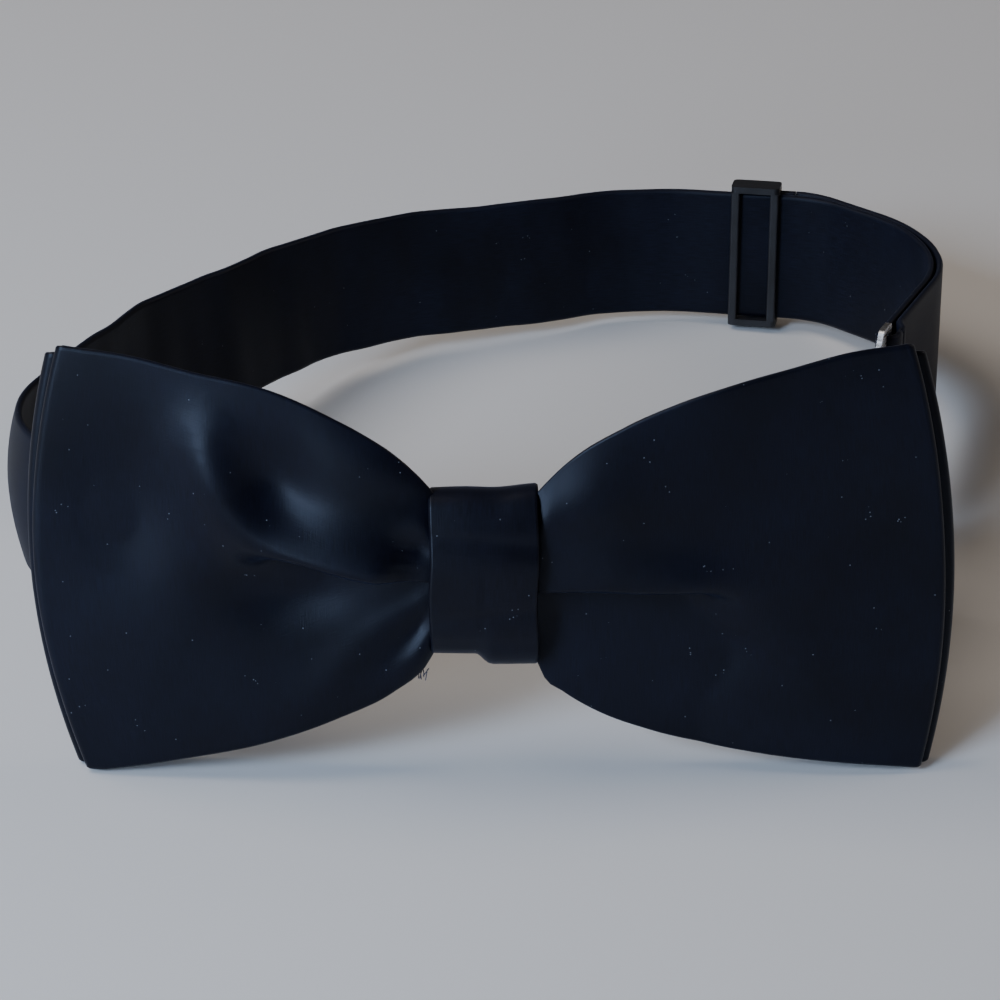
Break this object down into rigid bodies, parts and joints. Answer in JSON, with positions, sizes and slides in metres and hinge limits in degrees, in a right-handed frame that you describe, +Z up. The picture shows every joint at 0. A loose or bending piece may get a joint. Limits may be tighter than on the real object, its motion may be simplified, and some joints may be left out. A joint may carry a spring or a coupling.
{
  "type": "bow tie",
  "caption": "Ready-tied satin bow tie: flat pleated wings gathered by a wrapped knot, on an adjustable satin neckband closed by a hook and eye, standing as a loop.",
  "frame": {"origin": "centre of the object's footprint, on the surface that it stands on", "axes": "+Z up from the surface, -Y out of the bow's front towards the viewer, +X along the bow to its right end as the viewer sees it"},
  "size_m": [0.1406, 0.1408, 0.0606],
  "materials": {
    "satin": "dark navy satin weave, soft sheen",
    "lining": "off-white non-woven stiffener, matte",
    "thread": "navy polyester sewing thread",
    "metal": "nickel-plated, lightly brushed",
    "slider": "black enamel, semi-gloss"
  },
  "bodies": {
    "band": {"neck_strap": "satin", "neck_strap_interlining": "lining", "strap_return": "satin", "strap_return_interlining": "lining", "eye_fold_stitches": "thread"},
    "bow": {"front_bow_cover": "satin", "front_bow_interlining": "lining", "back_bow_cover": "satin", "back_bow_interlining": "lining", "gathering_thread": "thread", "knot_wrap": "satin", "knot_interlining": "lining", "knot_stitches": "thread"},
    "slider": {"slider_frame": "slider", "slider_fold": "satin", "slider_fold_stitches": "thread"},
    "hook": {"hook": "metal"},
    "eye": {"eye": "metal"}
  },
  "joints": [
    {"name": "bow_slide", "type": "slide", "parent": "band", "child": "bow", "axis": [1, 0, 0], "range_m": [-0.008, 0.008]},
    {"name": "slider_slide", "type": "slide", "parent": "band", "child": "slider", "axis": [0.9806, -0.1943, 0.0266], "range_m": [-0.005, 0.0015], "deforming": ["strap_return", "strap_return_interlining"]},
    {"name": "hook_swing", "type": "hinge", "parent": "band", "child": "hook", "pos_m": [0.05769, -0.00364, 0.02253], "axis": [0, 0.1357, 0.9907], "range_deg": [-7, 7]},
    {"name": "eye_swing", "type": "hinge", "parent": "band", "child": "eye", "pos_m": [0.05019, -0.022, 0.02505], "axis": [0, 0.1357, 0.9907], "range_deg": [-15, 15]}
  ],
  "couplings": [
    {"joint": "eye_swing", "follows": "hook_swing", "ratio": -2.0769}
  ]
}
